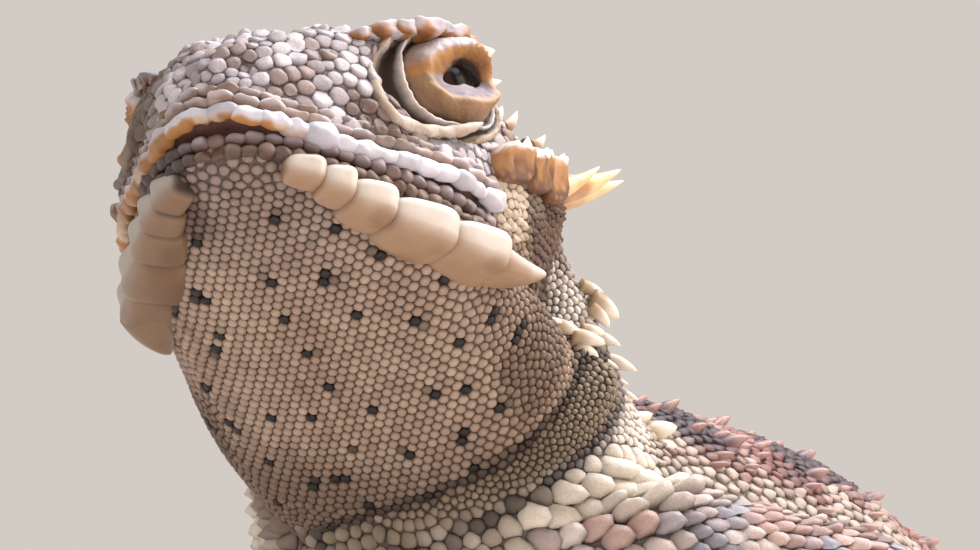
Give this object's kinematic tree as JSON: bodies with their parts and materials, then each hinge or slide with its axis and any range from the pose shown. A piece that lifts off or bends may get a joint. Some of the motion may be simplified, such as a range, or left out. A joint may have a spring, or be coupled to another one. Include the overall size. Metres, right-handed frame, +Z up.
{
  "type": "horned lizard",
  "caption": "Still life-size horned lizard standing with its head raised, with a broad flat body, spiny back and fringed sides, short tail, horned head and a row of jaw shields.",
  "frame": {"origin": "the point on the floor under the middle of the lizard's bounding box, with its feet, the rear of its belly and its tail on the floor at z = 0", "axes": "+Z up, +Y from the head towards the tail, so that the lizard faces -Y, and +X towards the animal's own left"},
  "size_m": [0.074, 0.1251, 0.0483],
  "materials": {
    "skin": "dry scaly hide, matt, tan and grey-brown",
    "skin_pale": "dry beaded hide, matt, pale tan with small dark spots",
    "skin_back": "dry spiny hide, matt, reddish brown with dark blotches",
    "horn": "smooth horn, satin, cream to orange tan",
    "eye": "wet and glossy, nearly black"
  },
  "bodies": {
    "root": {"horn_occipital_left": "horn", "horn_occipital_right": "horn", "horn_temporal_rear_left": "horn", "horn_temporal_rear_right": "horn", "horn_temporal_middle_left": "horn", "horn_temporal_middle_right": "horn", "horn_temporal_front_left": "horn", "horn_temporal_front_right": "horn", "eye_left": "eye", "eye_right": "eye", "head": "skin", "lower_jaw": "skin_pale", "throat": "skin_pale", "neck": "skin", "torso": "skin_back", "tail_base": "skin_back", "tail_middle": "skin_back", "tail_tip": "skin_back", "upper_arm_left": "skin", "upper_arm_right": "skin", "forearm_left": "skin", "forearm_right": "skin", "hand_left": "skin", "hand_right": "skin", "thigh_left": "skin", "thigh_right": "skin", "shin_left": "skin", "shin_right": "skin", "foot_left": "skin", "foot_right": "skin"}
  },
  "joints": []
}
